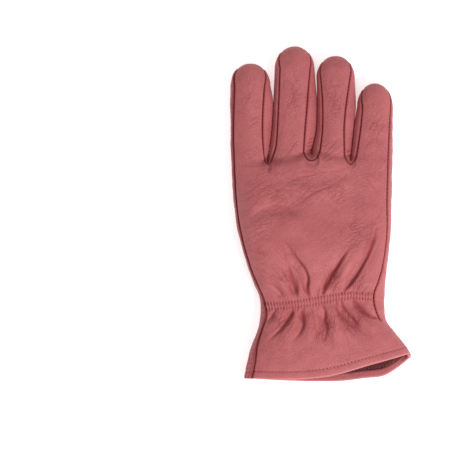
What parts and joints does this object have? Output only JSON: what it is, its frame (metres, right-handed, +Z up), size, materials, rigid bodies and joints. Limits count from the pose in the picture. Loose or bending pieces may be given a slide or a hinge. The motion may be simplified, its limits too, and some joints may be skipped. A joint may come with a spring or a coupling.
{
  "type": "leather work glove",
  "caption": "Soft leather work glove for a right hand, lying on its palm, with gathered elastic wrist, fourchettes and open cuff.",
  "frame": {"origin": "centre of the glove's footprint, on the surface that it lies on", "axes": "+Z up from the surface towards the back of the hand, +Y from the cuff to the fingertips, +X from the index finger side to the little finger side"},
  "size_m": [0.1282, 0.2399, 0.0269],
  "materials": {
    "leather": "soft matt grain leather",
    "elastic": "woven elastic tape"
  },
  "bodies": {
    "root": {"back_panel": "leather", "palm_panel": "leather", "fourchette_index_middle": "leather", "fourchette_middle_ring": "leather", "fourchette_ring_little": "leather", "thumb": "leather", "wrist_elastic": "elastic"}
  },
  "joints": []
}
